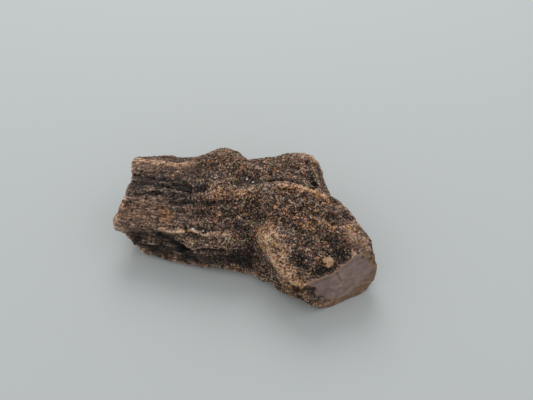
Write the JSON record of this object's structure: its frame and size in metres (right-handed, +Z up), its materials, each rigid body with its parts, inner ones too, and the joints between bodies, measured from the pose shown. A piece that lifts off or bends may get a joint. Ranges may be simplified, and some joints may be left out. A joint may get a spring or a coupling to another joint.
{
  "type": "petrified wood",
  "caption": "Hand-sized piece of petrified wood: a short trunk with a branch stump sawn off flat, rough brown rind, lying on its worn underside.",
  "frame": {"origin": "on the surface the stone lies on, under the middle of its bounding box", "axes": "+X along the trunk, towards the sawn branch stump; +Z up; the sawn face looks towards +X and -Y"},
  "size_m": [0.121, 0.0766, 0.0394],
  "materials": {
    "petrified_wood": "matte"
  },
  "bodies": {
    "root": {"petrified_wood": "petrified_wood"}
  },
  "joints": []
}
